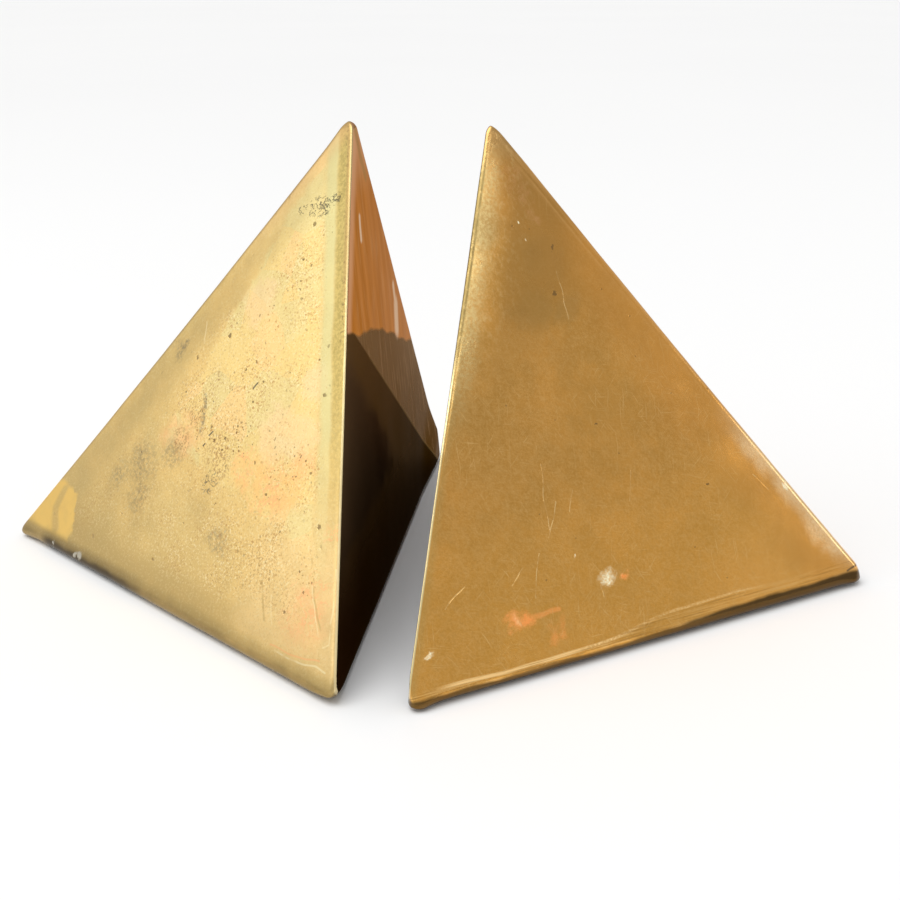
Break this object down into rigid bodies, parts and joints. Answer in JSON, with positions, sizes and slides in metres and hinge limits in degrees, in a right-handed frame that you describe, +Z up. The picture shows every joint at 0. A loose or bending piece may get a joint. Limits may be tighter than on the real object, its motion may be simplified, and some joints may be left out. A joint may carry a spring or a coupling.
{
  "type": "pair of book ends",
  "caption": "Pair of weighted brass book ends, each a hollow cast three-sided pyramid with a felted base, facing each other across the books.",
  "frame": {"origin": "on the shelf under the felt pads, midway between the two book ends", "axes": "+X along the row of books, from the left book end to the right one; +Y from the front of the shelf to its back; +Z up"},
  "size_m": [0.246, 0.1624, 0.1224],
  "materials": {
    "brass": "cast, satin to polished, patinated",
    "steel": "plain mill finish",
    "zinc": "zinc plated",
    "iron": "rough cast",
    "felt": "dark green felt"
  },
  "bodies": {
    "left_book_end": {"left_shell": "brass", "left_base_plate": "steel", "left_screw_front": "zinc", "left_screw_back": "zinc", "left_screw_tip": "zinc", "left_ballast": "iron", "left_ballast_bolt": "zinc", "left_felt": "felt"},
    "right_book_end": {"right_shell": "brass", "right_base_plate": "steel", "right_screw_front": "zinc", "right_screw_back": "zinc", "right_screw_tip": "zinc", "right_ballast": "iron", "right_ballast_bolt": "zinc", "right_felt": "felt"}
  },
  "joints": [
    {"name": "shelf_slide", "type": "slide", "parent": "left_book_end", "child": "right_book_end", "axis": [1, 0, 0], "range_m": [-0.0145, 0.3]}
  ]
}
